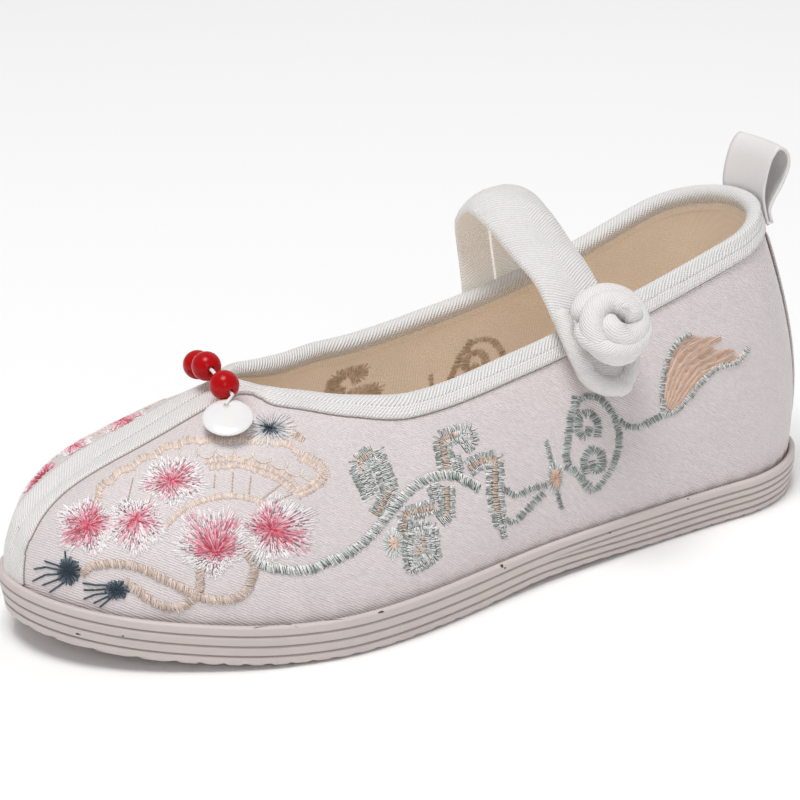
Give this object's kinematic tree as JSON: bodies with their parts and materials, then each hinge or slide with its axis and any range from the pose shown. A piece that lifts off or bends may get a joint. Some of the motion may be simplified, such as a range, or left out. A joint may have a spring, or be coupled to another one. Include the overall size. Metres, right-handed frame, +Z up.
{
  "type": "embroidered cloth shoe",
  "caption": "Left cloth shoe with a satin embroidered upper, twill-bound collar, instep strap with a button knot, bead trim at the throat, heel pull loop and a ribbed rubber cup sole.",
  "frame": {"origin": "middle of the shoe's footprint on the floor: the centre of the bounding box's underside", "axes": "+X from heel to toe, +Y to the outer (lateral) side, +Z up"},
  "size_m": [0.2006, 0.0794, 0.0821],
  "materials": {
    "outsole": "satin moulded rubber",
    "insole": "matt canvas",
    "upper": "satin weave, embroidered",
    "collar_binding": "matt diagonal twill",
    "toe_seam_tape": "matt diagonal twill",
    "heel_strip": "satin weave",
    "pull_loop": "satin ribbon",
    "instep_strap": "matt diagonal twill",
    "button_knot": "matt diagonal twill",
    "bead": "polished",
    "shell_disc": "polished mother-of-pearl",
    "bead_thread": "twisted thread"
  },
  "bodies": {
    "root": {"outsole": "outsole", "insole": "insole", "upper": "upper", "collar_binding": "collar_binding", "toe_seam_tape": "toe_seam_tape", "heel_strip": "heel_strip", "pull_loop": "pull_loop", "instep_strap": "instep_strap", "button_knot": "button_knot", "bead_lateral": "bead", "bead_centre": "bead", "bead_medial": "bead", "shell_disc": "shell_disc", "bead_thread": "bead_thread"}
  },
  "joints": []
}
